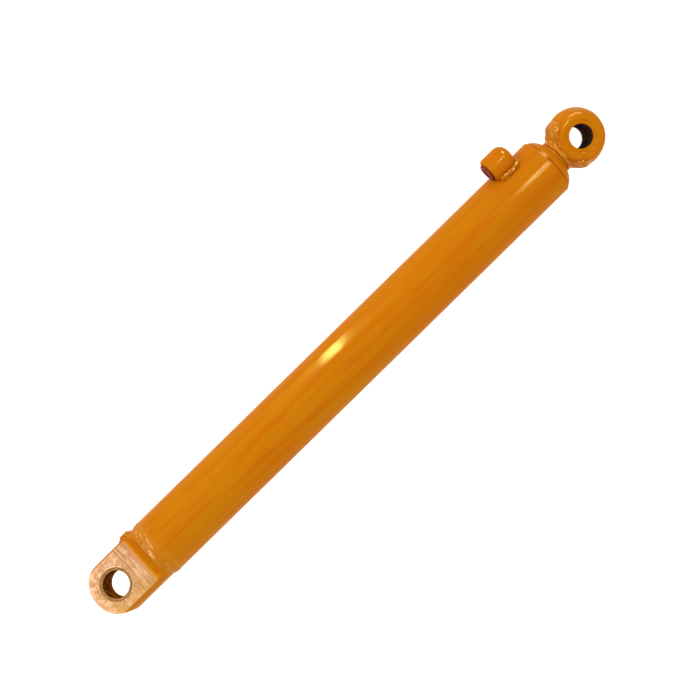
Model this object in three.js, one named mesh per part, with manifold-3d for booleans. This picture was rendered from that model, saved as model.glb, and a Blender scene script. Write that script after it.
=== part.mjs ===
// Welded double-acting hydraulic cylinder, rod fully in.
// Millimetres, +X along the cylinder from the base pin to the rod eye, +Z up, the base pin along Z.
// The origin is the centre of the base pin hole.

import * as THREE from 'three';
import { mergeVertices } from 'three/addons/utils/BufferGeometryUtils.js';
import Module from 'manifold-3d';

const wasm = await Module();
wasm.setup();

// ---------------------------------------------------------------- driving dimensions

const PIN_CENTRES = 814;          // base pin to rod pin with the rod in
const STROKE = 520;
const TUBE_R = 40;                // 80 mm tube with a 65 mm bore
const BORE_R = 32.5;
const ROD_R = 20;
const GAP = 0.3;                  // left between pieces that touch
const RUNNING = 0.15;             // radial clearance of what slides or turns
const ROUND = 32;                 // sides of the large round pieces
const SMALL_ROUND = 20;           // sides of the small ones

const TANG_R = 38.4;              // bar that the base cap is turned from
const TANG_HALF = 18.5;           // half the distance over the tang's flats
const TANG_TIP = 34.6;            // base pin to the tang's round end
const TANG_CORNER_R = 37.2;       // rounding of that end, seen along the pin
const TANG_END = 43;              // where the flats stop
const COLLAR_START = 61;          // where the cap is fully round again
const COLLAR_END = 61.5;
const GROOVE_ROOT = 65.5;         // bottom of the weld groove
const GROOVE_ROOT_R = 33;
const SPIGOT_END = 88;
const TUBE_START = 66.1;
const TUBE_GROOVE_END = 73;
const TUBE_END = 761;
const TUBE_CHAMFER = 1;
const WELD_CROWN_R = 40.65;       // top of the bead between cap and tube

const BASE_PIN_R = 17.5;
const BASE_BUSH_R = 20.3;

const BASE_PORT_X = 46;
const BASE_PORT_ANGLE = THREE.MathUtils.degToRad(80);     // from +Z towards +Y
const BASE_PORT_R = 8.5;
const BASE_PORT_FOOT = 30;        // the seat's foot and top, measured from the cylinder's axis
const BASE_PORT_TOP = 40.8;
const BASE_PORT_HOLE_R = 5.5;
const BASE_PLUG_HEAD_R = 7.2;
const BASE_PLUG_SOCKET_R = 2.9;
const BASE_PASSAGE_R = 4.5;
const BASE_PASSAGE_OUT = 18;      // distance of the long drilling from the axis

const ROD_PORT_ANGLE = THREE.MathUtils.degToRad(50);
const ROD_PORT_R = 17;
const ROD_PORT_OUT = 52.7;        // distance of the boss's own axis from the cylinder's
const ROD_PORT_START = 697.8;
const ROD_PORT_END = 733;
const ROD_PORT_EDGE = 3.5;        // chamfer round the mouth
const ROD_PORT_ROUNDING = 12;     // rounding of the closed end
const ROD_PORT_HOLE_R = 9.3;
const ROD_PORT_HOLE_END = 725;
const ROD_PORT_DRILL_X = 719;
const ROD_PORT_DRILL_R = 4.5;
const ROD_PORT_WELD_REACH = 4;    // how far the bead runs past each end of the boss
const ROD_PLUG_HEAD_R = 12;

const LOCK_X = 752;               // set screw that locks the gland
const LOCK_ANGLE = THREE.MathUtils.degToRad(215);
const LOCK_R = 3.8;
const LOCK_LOW = 30;              // bottom of its hole, measured from the cylinder's axis
const LOCK_SOCKET_R = 2.3;

const NUT_START = 98;
const NUT_ACROSS_FLATS = 41;
const THREAD_END = 94;
const SPIGOT_R = 14;              // the rod's turned-down end
const PISTON_START = 118;
const PISTON_LENGTH = 50;
const PISTON_R = 31.9;
const PISTON_END = PISTON_START + PISTON_LENGTH;
const PISTON_GROOVES = {          // start, end, floor radius
  wearRear: [PISTON_START + 4, PISTON_START + 12, 29.4],
  seal: [PISTON_START + 19, PISTON_START + 31, 26],
  wearFront: [PISTON_START + 38, PISTON_START + 46, 29.4],
};
const PISTON_SEAL_INNER_R = 29.6;
const PISTON_O_RING_GROOVE = [PISTON_END - 9, PISTON_END - 6, 16.6];

const GLAND_START = PISTON_END + STROKE + 2;
const GLAND_NOSE_R = 27.5;        // the slim inner end, with oil round it
const GLAND_STEP = 735;
const GLAND_R = BORE_R - GAP;
const GLAND_HEAD_R = 38.2;        // the head beyond the tube, which rounds down to the end
const GLAND_END = 774.2;
const GLAND_END_R = 24.5;
const GLAND_BORE_R = ROD_R + RUNNING;
const GLAND_GROOVES = {           // start, end, floor radius
  wearFront: [694, 704, 22.7],
  buffer: [709, 715, 24.2],
  wearRear: [722, 732, 22.7],
  rod: [738, 748, 25],
};
const O_RING_GROOVE = [737, 745, 28.6];
const WIPER_START = 766;
const WIPER_R = 24;
const WIPER_LIP_END = 776.9;

const EYE_R = 38.6;
const EYE_HALF = 24;              // half the eye's thickness
const EYE_BAND = 3;               // half the width of its rim, at its full radius
const EYE_SHOULDER_R = 32;        // the sides taper from the rim to here
const EYE_SHOULDER = 19.5;
const EYE_FLAT_R = 25;            // and round over on to the flat faces
const EYE_BORE_R = 20;
const EYE_ROLL = THREE.MathUtils.degToRad(19);            // how far the rod is turned in the barrel
const ROD_PIN_R = 15;
const EYE_BUSH_HALF = 18;
const NECK_R = 23.4;
const NECK_START = 777.6;
const FLARE = [                   // [x, radius] where the bead leaves the neck and laps on to the eye
  [784, NECK_R], [788, 28.2], [792.6, 32.8], [797.6, 36.6], [804.6, 39.2],
];

const HEX = 6;
const LONG = 200;                 // reaches past any piece

// ---------------------------------------------------------------- materials

const paint = (color = 0xd07a05) => ({ color, roughness: 0.38, metalness: 0.0 });
const steel = { color: 0xb9b9bd, roughness: 0.3, metalness: 1.0 };
const machined = { color: 0xe2ae7c, roughness: 0.5, metalness: 0.4 };
const darkSteel = { color: 0x6d6a72, roughness: 0.4, metalness: 1.0 };
const castIron = { color: 0x55565a, roughness: 0.6, metalness: 0.8 };
const bronze = { color: 0xa9742f, roughness: 0.45, metalness: 0.8 };
const rubber = { color: 0x17171a, roughness: 0.75, metalness: 0.0 };
const urethane = { color: 0x2b4f86, roughness: 0.55, metalness: 0.0 };
const phenolic = { color: 0x8a4b1f, roughness: 0.7, metalness: 0.0 };
const redPlastic = { color: 0x6e1414, roughness: 0.45, metalness: 0.0 };

// ---------------------------------------------------------------- shape helpers

// A closed geometry as a solid that can be joined and cut.
function solid(geometry) {
  const bare = geometry.clone();
  bare.deleteAttribute('normal');
  bare.deleteAttribute('uv');
  const merged = mergeVertices(bare, 1e-4);
  const corners = merged.index.array;
  const kept = [];
  for (let i = 0; i < corners.length; i += 3) {
    const [a, b, c] = [corners[i], corners[i + 1], corners[i + 2]];
    if (a !== b && b !== c && c !== a) kept.push(a, b, c);
  }
  return new wasm.Manifold(new wasm.Mesh({
    numProp: 3,
    vertProperties: merged.attributes.position.array,
    triVerts: new Uint32Array(kept),
  }));
}

// A lathe geometry about Y from a [radius, y] outline that ends on the axis or closes on itself.
function lathe(outline, sides) {
  const points = outline.map(([radius, y]) => new THREE.Vector2(radius, y));
  const onAxis = points[0].x === 0 && points.at(-1).x === 0;
  if (!onAxis) points.push(points[0].clone());
  if (THREE.ShapeUtils.area(points) < 0) points.reverse();
  return new THREE.LatheGeometry(points, sides);
}

// A geometry turned about X from its [x, radius] outline.
function turnedGeometry(outline, sides = ROUND) {
  return lathe(outline.map(([x, radius]) => [radius, x]), sides).rotateZ(-Math.PI / 2);
}

function turned(outline, sides = ROUND) {
  return solid(turnedGeometry(outline, sides));
}

// A geometry turned about Z from its [radius, z] outline.
function turnedUpright(outline, sides = ROUND) {
  return lathe(outline, sides).rotateX(Math.PI / 2);
}

function bar(start, end, radius, sides = ROUND) {
  return turned([[start, 0], [start, radius], [end, radius], [end, 0]], sides);
}

function ring(start, end, inner, outer, sides = ROUND) {
  return turned([[start, inner], [start, outer], [end, outer], [end, inner]], sides);
}

// A ring with its outer corners broken.
function chamferedRing(start, end, inner, outer, chamfer) {
  return turned([
    [start, inner], [start, outer - chamfer], [start + chamfer, outer],
    [end - chamfer, outer], [end, outer - chamfer], [end, inner],
  ]);
}

// A ring of round section, such as an O-ring.
function roundRing(x, radius, thickness, steps = 6) {
  const outline = [];
  for (let i = 0; i < steps; i += 1) {
    const angle = (2 * Math.PI * i) / steps;
    outline.push([x + thickness * Math.cos(angle), radius + thickness * Math.sin(angle)]);
  }
  return turned(outline);
}

// A seal with a groove between its two lips, open towards start.
function lipSeal(start, end, inner, outer) {
  const middle = (inner + outer) / 2;
  const depth = (end - start) / 2;
  return turned([
    [start, inner], [start, middle - 0.5], [start + depth, middle],
    [start, middle + 0.5], [start, outer], [end, outer], [end, inner + 0.4],
  ]);
}

// A cylinder along Z between two heights, as a geometry.
function upright(radius, low, high, sides = SMALL_ROUND) {
  return turnedUpright([[0, low], [radius, low], [radius, high], [0, high]], sides);
}

// An outline in the X-Z plane, drawn out along Y to both sides.
function slabAlongY(outline, halfWidth) {
  const shape = new THREE.Shape(outline.map(([x, z]) => new THREE.Vector2(x, z)));
  const geometry = new THREE.ExtrudeGeometry(shape, { depth: 2 * halfWidth, bevelEnabled: false });
  return solid(geometry.translate(0, 0, -halfWidth).rotateX(Math.PI / 2));
}

// An outline in the X-Y plane, drawn out along Z to both sides.
function slabAlongZ(shape, halfHeight) {
  const settings = { depth: 2 * halfHeight, bevelEnabled: false, curveSegments: 10 };
  const geometry = new THREE.ExtrudeGeometry(shape, settings);
  return solid(geometry.translate(0, 0, -halfHeight));
}

// Points of a quarter ellipse from [x, low + height] round to [x + length, low]. A power over 1 flattens it.
function quarterRound(x, low, length, height, steps = 5, power = 1) {
  const points = [];
  for (let i = 0; i <= steps; i += 1) {
    const angle = (Math.PI / 2) * (i / steps);
    const along = Math.sin(angle) ** power;
    const up = Math.max(0, Math.cos(angle)) ** power;
    points.push([x + length * along, low + height * up]);
  }
  return points;
}

// ---------------------------------------------------------------- base end

// Side view of the cap's tang: two flats, then a hollow ramp up to the full bar.
function tangSideView() {
  const rampHeight = TANG_R - TANG_HALF;
  const rampLength = COLLAR_START - TANG_END;
  const upper = [];
  for (let i = 0; i <= 6; i += 1) {
    const share = i / 6;
    const lift = 1 - Math.sqrt(1 - 0.75 * share * share);
    upper.push([TANG_END + rampLength * share, TANG_HALF + 2 * rampHeight * lift]);
  }
  const lower = upper.map(([x, z]) => [x, -z]).reverse();
  return [
    [-LONG, TANG_HALF], ...upper, [COLLAR_START, LONG], [LONG, LONG],
    [LONG, -LONG], [COLLAR_START, -LONG], ...lower, [-LONG, -TANG_HALF],
  ];
}

// Plan view of the cap: a round end, barely flattened at its tip, then straight sides.
function tangPlan() {
  const centreX = TANG_CORNER_R - TANG_TIP;
  const centreY = TANG_R - TANG_CORNER_R;
  const shape = new THREE.Shape();
  shape.moveTo(LONG, -TANG_R);
  shape.lineTo(LONG, TANG_R);
  shape.lineTo(centreX, TANG_R);
  shape.absarc(centreX, centreY, TANG_CORNER_R, Math.PI / 2, Math.PI, false);
  shape.absarc(centreX, -centreY, TANG_CORNER_R, Math.PI, 1.5 * Math.PI, false);
  return shape;
}

// Puts what was drawn about the Z axis at the base port.
const atBasePort = (geometry) => solid(geometry.translate(BASE_PORT_X, 0, 0).rotateX(-BASE_PORT_ANGLE));

function basePassage() {
  const drill = new THREE.CylinderGeometry(BASE_PASSAGE_R, BASE_PASSAGE_R, LONG, SMALL_ROUND);
  drill.rotateZ(-Math.PI / 2).translate(LONG / 2, 0, BASE_PASSAGE_OUT);
  return atBasePort(drill);
}

function baseCapBody() {
  const spigot = BORE_R - GAP;
  const outline = [
    [-TANG_R, 0], [-TANG_R, TANG_R], [COLLAR_END, TANG_R], [GROOVE_ROOT, GROOVE_ROOT_R],
    [GROOVE_ROOT, spigot], [SPIGOT_END - 2, spigot], [SPIGOT_END, spigot - 2], [SPIGOT_END, 0],
  ];
  return turned(outline)
    .intersect(slabAlongZ(tangPlan(), LONG))
    .intersect(slabAlongY(tangSideView(), LONG));
}

function baseCap() {
  const pinHole = solid(upright(BASE_BUSH_R + GAP, -LONG, LONG, ROUND));
  return baseCapBody()
    .subtract(pinHole)
    .subtract(atBasePort(upright(BASE_PORT_HOLE_R, BASE_PASSAGE_OUT, LONG)))
    .subtract(basePassage());
}

function baseBush() {
  const chamfer = 1.2;
  const half = TANG_HALF - GAP;
  return solid(turnedUpright([
    [BASE_PIN_R, chamfer - half], [BASE_PIN_R + chamfer, -half], [BASE_BUSH_R, -half],
    [BASE_BUSH_R, half], [BASE_PIN_R + chamfer, half], [BASE_PIN_R, half - chamfer],
  ]));
}

// Bead that fills the groove between cap and tube and stands a little proud of both.
function baseWeld() {
  return turned([
    [COLLAR_END + 0.3, TANG_R + 0.1], [GROOVE_ROOT + 0.25, GROOVE_ROOT_R + 0.4],
    [TUBE_GROOVE_END - 0.3, TUBE_R + GAP], [TUBE_GROOVE_END + 1.5, TUBE_R + GAP],
    [TUBE_GROOVE_END - 3, WELD_CROWN_R], [COLLAR_END + 4, WELD_CROWN_R - 0.1],
    [COLLAR_END + 0.5, TANG_R + 1.2], [COLLAR_END - 1.5, TANG_R + GAP],
  ]);
}

function basePortBoss() {
  const chamfer = 0.8;
  const seat = atBasePort(turnedUpright([
    [BASE_PORT_HOLE_R, BASE_PORT_FOOT], [BASE_PORT_R, BASE_PORT_FOOT], [BASE_PORT_R, BASE_PORT_TOP - chamfer],
    [BASE_PORT_R - chamfer, BASE_PORT_TOP], [BASE_PORT_HOLE_R, BASE_PORT_TOP],
  ], SMALL_ROUND));
  return seat.subtract(bar(0, COLLAR_START, TANG_R + GAP));
}

function basePortWeld() {
  const inner = BASE_PORT_R + GAP;
  const outer = inner + 2.2;
  const bead = atBasePort(turnedUpright([
    [inner, BASE_PORT_FOOT], [outer, BASE_PORT_FOOT],
    [outer, BASE_PORT_TOP - 2.8], [inner, BASE_PORT_TOP - 0.8],
  ], SMALL_ROUND));
  return bead.subtract(bar(0, COLLAR_START, TANG_R + GAP));
}

// Plug with a domed head and a hexagon socket.
function basePortPlug() {
  const stem = BASE_PORT_HOLE_R - GAP;
  const low = BASE_PORT_FOOT - 1;
  const head = BASE_PORT_TOP + GAP;
  const body = atBasePort(turnedUpright([
    [0, low], [stem, low], [stem, head], [BASE_PLUG_HEAD_R, head], [BASE_PLUG_HEAD_R, head + 0.9],
    [BASE_PLUG_HEAD_R - 1.2, head + 1.7], [0, head + 1.7],
  ], SMALL_ROUND));
  return body.subtract(atBasePort(upright(BASE_PLUG_SOCKET_R, head - 4, LONG, HEX)));
}

// ---------------------------------------------------------------- tube and its rod-end port

// Puts what was drawn above the axis, along +Z, at the rod-end port's angle.
const atRodPort = (geometry) => solid(geometry.rotateX(-ROD_PORT_ANGLE));

function rodPortDrill() {
  return atRodPort(upright(ROD_PORT_DRILL_R, 0, ROD_PORT_OUT).translate(ROD_PORT_DRILL_X, 0, 0));
}

// Puts what was drawn about the Z axis at the gland's lock screw.
const atLock = (geometry) => solid(geometry.translate(LOCK_X, 0, 0).rotateX(-LOCK_ANGLE));

const lockHole = (low) => atLock(upright(LOCK_R + GAP, low, LONG));

function barrelTube() {
  return turned([
    [TUBE_START, BORE_R], [TUBE_START, GROOVE_ROOT_R], [TUBE_GROOVE_END, TUBE_R],
    [TUBE_END - TUBE_CHAMFER, TUBE_R], [TUBE_END, TUBE_R - TUBE_CHAMFER], [TUBE_END, BORE_R],
  ]).subtract(rodPortDrill()).subtract(lockHole(0));
}

// The boss's outer shape before it is coped to the tube, grown by extra all round.
function rodPortBlank(extra) {
  const start = ROD_PORT_START - extra;
  const end = ROD_PORT_END + extra;
  const radius = ROD_PORT_R + extra;
  const rounding = ROD_PORT_ROUNDING;
  const outline = [
    [start, 0], [start, radius - ROD_PORT_EDGE], [start + ROD_PORT_EDGE, radius],
    ...quarterRound(end - rounding, radius - rounding, rounding, rounding, 4), [end, 0],
  ];
  return atRodPort(turnedGeometry(outline, SMALL_ROUND).translate(0, 0, ROD_PORT_OUT));
}

function rodPortBoss() {
  const outline = [
    [0, 0], [0, ROD_PORT_HOLE_R], [ROD_PORT_HOLE_END, ROD_PORT_HOLE_R], [ROD_PORT_HOLE_END, 0],
  ];
  const hole = turnedGeometry(outline, SMALL_ROUND).translate(0, 0, ROD_PORT_OUT);
  return rodPortBlank(0)
    .subtract(bar(0, PIN_CENTRES, TUBE_R + GAP))
    .subtract(atRodPort(hole))
    .subtract(rodPortDrill());
}

// Bead that fills the valleys between boss and tube and runs round both ends.
function rodPortWeld() {
  const right = [[13, 30], [16.5, 37.5], [12.5, 44]];
  const left = right.map(([across, out]) => [-across, out]).reverse();
  const section = new THREE.Shape([...right, ...left].map(([across, out]) => new THREE.Vector2(across, out)));
  const slope = 3;
  const geometry = new THREE.ExtrudeGeometry(section, {
    depth: ROD_PORT_END - ROD_PORT_START + 2 * (ROD_PORT_WELD_REACH - slope),
    bevelThickness: slope, bevelSize: slope, bevelOffset: -slope, bevelSegments: 3,
  });
  geometry.translate(0, 0, ROD_PORT_START - ROD_PORT_WELD_REACH + slope);
  geometry.rotateY(Math.PI / 2).rotateX(Math.PI / 2);
  const clearMouth = new THREE.CylinderGeometry(ROD_PORT_R, ROD_PORT_R, LONG, SMALL_ROUND);
  clearMouth.rotateZ(-Math.PI / 2).translate(ROD_PORT_START - LONG / 2, 0, ROD_PORT_OUT);
  return atRodPort(geometry)
    .subtract(bar(0, PIN_CENTRES, TUBE_R + GAP))
    .subtract(rodPortBlank(GAP))
    .subtract(atRodPort(clearMouth))
    .subtract(rodPortDrill());
}

// Push-in plug with a flanged, dished head.
function rodPortPlug() {
  const stem = ROD_PORT_HOLE_R - GAP;
  const head = ROD_PORT_START - GAP;
  const outline = [
    [head - 1.2, 0], [head - 1.2, 6.5], [head - 2.8, 7.5], [head - 2.8, ROD_PLUG_HEAD_R - 1],
    [head - 1.8, ROD_PLUG_HEAD_R], [head, ROD_PLUG_HEAD_R], [head, stem],
    [head + 12, stem - 0.4], [head + 12, 0],
  ];
  return atRodPort(turnedGeometry(outline, SMALL_ROUND).translate(0, 0, ROD_PORT_OUT));
}

// ---------------------------------------------------------------- gland and its seals

function gland() {
  const head = TUBE_END + GAP;
  const nose = quarterRound(head, GLAND_END_R, GLAND_END - head, GLAND_HEAD_R - GLAND_END_R, 6, 1.4);
  const [grooveStart, grooveEnd, floor] = O_RING_GROOVE;
  let body = turned([
    [GLAND_START, GLAND_BORE_R], [GLAND_START, GLAND_NOSE_R - 2], [GLAND_START + 2, GLAND_NOSE_R],
    [GLAND_STEP - 4, GLAND_NOSE_R], [GLAND_STEP, GLAND_R - 1], [GLAND_STEP + 1, GLAND_R],
    [grooveStart, GLAND_R], [grooveStart, floor], [grooveEnd, floor], [grooveEnd, GLAND_R],
    [head, GLAND_R], ...nose, [GLAND_END, GLAND_BORE_R],
  ]);
  for (const [start, end, radius] of Object.values(GLAND_GROOVES)) {
    body = body.subtract(ring(start, end, ROD_R - 2, radius));
  }
  return body.subtract(ring(WIPER_START, LONG + GLAND_END, ROD_R - 2, WIPER_R)).subtract(lockHole(LOCK_LOW));
}

// A plain guide band in one of the gland's grooves.
function glandBand([start, end, floor]) {
  return ring(start + GAP, end - GAP, ROD_R + RUNNING, floor - GAP);
}

function glandLipSeal([start, end, floor]) {
  return lipSeal(start + GAP, end - GAP, ROD_R + RUNNING, floor - GAP);
}

function wiperSeal() {
  const inner = ROD_R + RUNNING;
  const outer = WIPER_R - GAP;
  return turned([
    [WIPER_START + GAP, inner + 1], [WIPER_START + GAP, outer], [GLAND_END - 0.2, outer],
    [WIPER_LIP_END - 0.4, outer - 0.6], [WIPER_LIP_END, inner + 0.9], [WIPER_LIP_END, inner],
    [WIPER_LIP_END - 2.5, inner], [WIPER_LIP_END - 4, inner + 1],
  ]);
}

function glandORing() {
  const [, end, floor] = O_RING_GROOVE;
  const thickness = 1.5;
  return roundRing(end - GAP - thickness, (floor + BORE_R) / 2, thickness);
}

function glandBackupRing() {
  const [start, , floor] = O_RING_GROOVE;
  return ring(start + GAP, start + 3, floor + GAP, BORE_R - GAP);
}

function glandLockScrew() {
  const low = LOCK_LOW + GAP;
  const high = TUBE_R - 1.5;
  const outline = [[0, low], [LOCK_R - 1, low], [LOCK_R, low + 1], [LOCK_R, high], [0, high]];
  const body = turnedUpright(outline, SMALL_ROUND);
  return atLock(body).subtract(atLock(upright(LOCK_SOCKET_R, high - 4, LONG, HEX)));
}

// ---------------------------------------------------------------- piston and rod

function piston() {
  let body = chamferedRing(PISTON_START, PISTON_END, SPIGOT_R + GAP, PISTON_R, 1.5);
  for (const [start, end, floor] of Object.values(PISTON_GROOVES)) {
    body = body.subtract(ring(start, end, floor, BORE_R + 1));
  }
  const [start, end, floor] = PISTON_O_RING_GROOVE;
  return body.subtract(ring(start, end, SPIGOT_R - 1, floor));
}

function pistonBand([start, end, floor]) {
  return ring(start + GAP, end - GAP, floor + GAP, BORE_R - RUNNING);
}

function pistonSeal([start, end]) {
  return chamferedRing(start + GAP, end - GAP, PISTON_SEAL_INNER_R, BORE_R - RUNNING, 0.6);
}

// Rubber ring under the piston seal that presses it outwards.
function pistonSealExpander([start, end, floor]) {
  const middle = (start + end) / 2;
  return ring(middle - 3.5, middle + 3.5, floor + GAP, PISTON_SEAL_INNER_R - GAP);
}

function pistonORing() {
  const [start, end, floor] = PISTON_O_RING_GROOVE;
  return ring(start + GAP, end - GAP, SPIGOT_R + GAP, floor - GAP);
}

function pistonNut() {
  const corner = NUT_ACROSS_FLATS / 2 / Math.cos(Math.PI / HEX);
  const end = PISTON_START - GAP;
  const dome = turned([
    [NUT_START, 0], [NUT_START, corner - 2.2], [NUT_START + 1.3, corner],
    [end - 1.3, corner], [end, corner - 2.2], [end, 0],
  ]);
  return bar(NUT_START, end, corner, HEX).intersect(dome).subtract(bar(0, PISTON_START, SPIGOT_R + GAP));
}

// ---------------------------------------------------------------- rod eye, drawn before the rod is turned

// The eye's outer shape about its pin, grown by extra all round, without its hole.
function eyeBlank(extra) {
  const half = EYE_HALF + extra;
  const shoulder = EYE_SHOULDER_R + extra;
  const rounding = quarterRound(EYE_SHOULDER, EYE_FLAT_R, half - EYE_SHOULDER, shoulder - EYE_FLAT_R, 4)
    .map(([z, radius]) => [radius, z]);
  const upper = [[EYE_R + extra, EYE_BAND], ...rounding, [0, half]];
  const lower = upper.map(([radius, z]) => [radius, -z]).reverse();
  return solid(turnedUpright([...lower, ...upper]).translate(PIN_CENTRES, 0, 0));
}

const eyeBore = (radius) => solid(upright(radius, -LONG, LONG, ROUND).translate(PIN_CENTRES, 0, 0));

function rodEye() {
  return eyeBlank(0).subtract(eyeBore(EYE_BORE_R));
}

function pistonRod() {
  const shoulder = PISTON_END + GAP;
  const shaft = turned([
    [THREAD_END, 0], [THREAD_END, SPIGOT_R - 1.5], [THREAD_END + 1.5, SPIGOT_R], [shoulder, SPIGOT_R],
    [shoulder, ROD_R - 1], [shoulder + 1, ROD_R], [PIN_CENTRES, ROD_R], [PIN_CENTRES, 0],
  ]);
  return shaft.subtract(eyeBlank(GAP));
}

// Bead round the rod's end: a collar that flares hollow on to the eye and laps over its rim.
function rodEyeWeld() {
  const flare = new THREE.SplineCurve(FLARE.map(([x, radius]) => new THREE.Vector2(x, radius)));
  const end = FLARE.at(-1)[0];
  const collar = turned([
    [NECK_START, ROD_R + GAP], [NECK_START, NECK_R - 0.8], [NECK_START + 0.8, NECK_R],
    ...flare.getPoints(7).map((point) => [point.x, point.y]), [end, ROD_R + GAP],
  ]);
  const start = NECK_START - 1;
  const top = EYE_HALF - 1;
  const slab = slabAlongY([[start, -top], [end + 1, -top], [end + 1, top], [start, top]], LONG);
  return collar.intersect(slab).subtract(eyeBlank(GAP));
}

function rodEyeBush() {
  const chamfer = 1;
  const outer = EYE_BORE_R - GAP;
  return solid(turnedUpright([
    [ROD_PIN_R, chamfer - EYE_BUSH_HALF], [ROD_PIN_R + chamfer, -EYE_BUSH_HALF], [outer, -EYE_BUSH_HALF],
    [outer, EYE_BUSH_HALF], [ROD_PIN_R + chamfer, EYE_BUSH_HALF], [ROD_PIN_R, EYE_BUSH_HALF - chamfer],
  ]).translate(PIN_CENTRES, 0, 0));
}

// Dust seal in one end of the eye's bore, with its lip leaning out.
function rodEyeSeal(side) {
  const low = EYE_BUSH_HALF + GAP;
  const high = EYE_HALF - GAP;
  const caseR = ROD_PIN_R + 1.4;
  const lip = ROD_PIN_R + 0.5;
  const outline = [
    [caseR, low], [EYE_BORE_R - GAP, low], [EYE_BORE_R - GAP, high], [caseR, high],
    [lip, high - 1.2], [lip, high - 2.4],
  ].map(([radius, z]) => [radius, side * z]);
  return solid(turnedUpright(outline).translate(PIN_CENTRES, 0, 0));
}

// ---------------------------------------------------------------- assembly

function mesh(name, shape, material) {
  const { vertProperties, triVerts } = shape.getMesh();
  const geometry = new THREE.BufferGeometry();
  geometry.setAttribute('position', new THREE.BufferAttribute(new Float32Array(vertProperties), 3));
  geometry.setIndex(new THREE.BufferAttribute(new Uint32Array(triVerts), 1));
  const made = new THREE.Mesh(geometry, new THREE.MeshStandardMaterial(material));
  made.name = name;
  return made;
}

function barrelGroup() {
  const group = new THREE.Group();
  group.add(
    mesh('barrel_tube', barrelTube(), paint()),
    mesh('base_cap', baseCap(), machined),
    mesh('base_weld', baseWeld(), paint(0xc87404)),
    mesh('base_bush', baseBush(), bronze),
    mesh('base_port_boss', basePortBoss(), paint()),
    mesh('base_port_weld', basePortWeld(), paint(0xc87404)),
    mesh('base_port_plug', basePortPlug(), paint()),
    mesh('rod_port_boss', rodPortBoss(), paint()),
    mesh('rod_port_weld', rodPortWeld(), paint(0xc87404)),
    mesh('rod_port_plug', rodPortPlug(), redPlastic),
  );
  return group;
}

function glandGroup() {
  const group = new THREE.Group();
  group.add(
    mesh('gland', gland(), paint()),
    mesh('gland_o_ring', glandORing(), rubber),
    mesh('gland_backup_ring', glandBackupRing(), phenolic),
    mesh('gland_lock_screw', glandLockScrew(), darkSteel),
    mesh('rod_wear_ring_front', glandBand(GLAND_GROOVES.wearFront), phenolic),
    mesh('buffer_seal', glandLipSeal(GLAND_GROOVES.buffer), urethane),
    mesh('rod_wear_ring_rear', glandBand(GLAND_GROOVES.wearRear), phenolic),
    mesh('rod_seal', glandLipSeal(GLAND_GROOVES.rod), urethane),
    mesh('wiper_seal', wiperSeal(), rubber),
  );
  return group;
}

function pistonSealGroup() {
  const group = new THREE.Group();
  group.add(
    mesh('piston_wear_ring_rear', pistonBand(PISTON_GROOVES.wearRear), phenolic),
    mesh('piston_seal', pistonSeal(PISTON_GROOVES.seal), urethane),
    mesh('piston_seal_expander', pistonSealExpander(PISTON_GROOVES.seal), rubber),
    mesh('piston_wear_ring_front', pistonBand(PISTON_GROOVES.wearFront), phenolic),
  );
  return group;
}

function rodGroup() {
  const group = new THREE.Group();
  group.rotation.x = EYE_ROLL;
  group.add(
    mesh('piston_rod', pistonRod(), steel),
    mesh('piston', piston(), castIron),
    mesh('piston_nut', pistonNut(), darkSteel),
    mesh('piston_o_ring', pistonORing(), rubber),
    mesh('rod_eye', rodEye(), paint()),
    mesh('rod_eye_weld', rodEyeWeld(), paint(0xc87404)),
    mesh('rod_eye_bush', rodEyeBush(), darkSteel),
    mesh('rod_eye_seal_top', rodEyeSeal(1), rubber),
    mesh('rod_eye_seal_bottom', rodEyeSeal(-1), rubber),
  );
  return group;
}

const cylinder = new THREE.Group();
cylinder.add(barrelGroup(), glandGroup(), pistonSealGroup(), rodGroup());

export default cylinder;
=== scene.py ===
"""Looks of the welded hydraulic cylinder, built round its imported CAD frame.

The shapes' sizes are in millimetres and are turned into metres when a mesh is made. Sizes inside a material
and those of the camera, floor and lights are in metres. The frame has +X along the cylinder from the base
pin to the rod eye and +Z along the base pin, with the origin at the base pin's centre.
"""

import math

import bpy
import numpy as np
from mathutils import Matrix, Vector


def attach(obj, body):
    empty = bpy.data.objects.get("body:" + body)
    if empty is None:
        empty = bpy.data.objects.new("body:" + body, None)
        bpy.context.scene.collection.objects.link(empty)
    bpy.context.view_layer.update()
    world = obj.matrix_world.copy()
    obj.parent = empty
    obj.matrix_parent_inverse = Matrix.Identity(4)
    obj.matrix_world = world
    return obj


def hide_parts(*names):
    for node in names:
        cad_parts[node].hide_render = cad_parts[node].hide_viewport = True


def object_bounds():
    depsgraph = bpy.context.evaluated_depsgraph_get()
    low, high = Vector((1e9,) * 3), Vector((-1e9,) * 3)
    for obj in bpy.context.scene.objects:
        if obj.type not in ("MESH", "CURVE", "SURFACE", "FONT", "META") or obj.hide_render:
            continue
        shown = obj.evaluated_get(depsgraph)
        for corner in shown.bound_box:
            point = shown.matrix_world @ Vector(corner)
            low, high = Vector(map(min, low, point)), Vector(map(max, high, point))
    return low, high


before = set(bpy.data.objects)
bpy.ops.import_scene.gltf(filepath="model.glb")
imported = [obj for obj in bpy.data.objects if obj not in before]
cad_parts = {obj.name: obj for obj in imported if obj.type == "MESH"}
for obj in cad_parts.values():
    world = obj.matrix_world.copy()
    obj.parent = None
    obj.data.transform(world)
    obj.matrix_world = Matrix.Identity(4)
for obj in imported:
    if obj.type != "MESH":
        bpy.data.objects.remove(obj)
cad_low, cad_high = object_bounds()

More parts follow.
